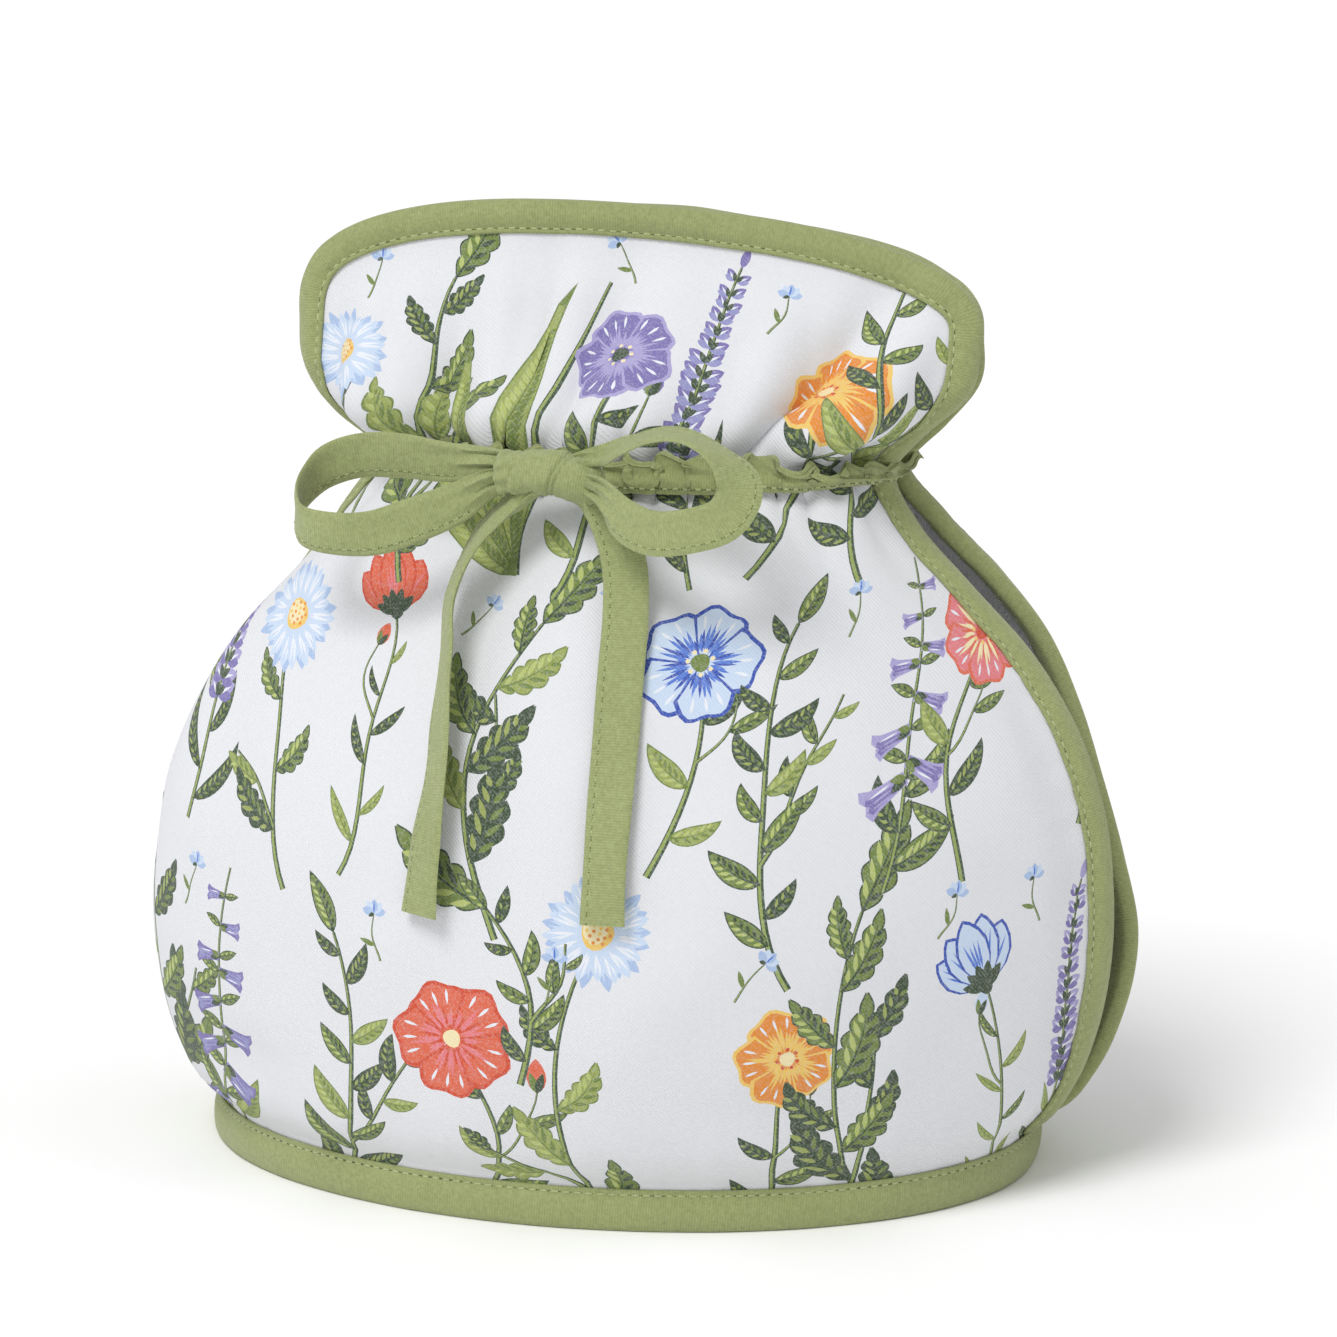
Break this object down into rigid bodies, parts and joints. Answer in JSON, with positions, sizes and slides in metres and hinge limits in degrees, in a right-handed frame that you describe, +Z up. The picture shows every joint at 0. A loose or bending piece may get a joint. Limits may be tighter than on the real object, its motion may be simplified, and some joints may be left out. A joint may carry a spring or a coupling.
{
  "type": "tea cosy",
  "caption": "Padded cloth teapot cover, open underneath and at both sides, drawn in at the neck below a standing frill and tied with a bow at the front.",
  "frame": {"origin": "the middle of the whole part's box, at the level of the hem's underside", "axes": "+Z up, front with the bow towards -Y, handle slit towards +X, spout slit towards -X"},
  "size_m": [0.2272, 0.1766, 0.228],
  "materials": {
    "printed_cloth": "matt white cotton twill with a printed flower pattern",
    "green_binding": "matt plain-weave cotton",
    "green_tie": "matt plain-weave cotton"
  },
  "bodies": {
    "root": {"front_panel": "printed_cloth", "back_panel": "printed_cloth", "front_binding": "green_binding", "back_binding": "green_binding", "hem_binding": "green_binding", "neck_casing": "green_binding", "tie_knot": "green_tie", "tie_loop_left": "green_tie", "tie_loop_right": "green_tie", "tie_end_left": "green_tie", "tie_end_right": "green_tie"}
  },
  "joints": []
}
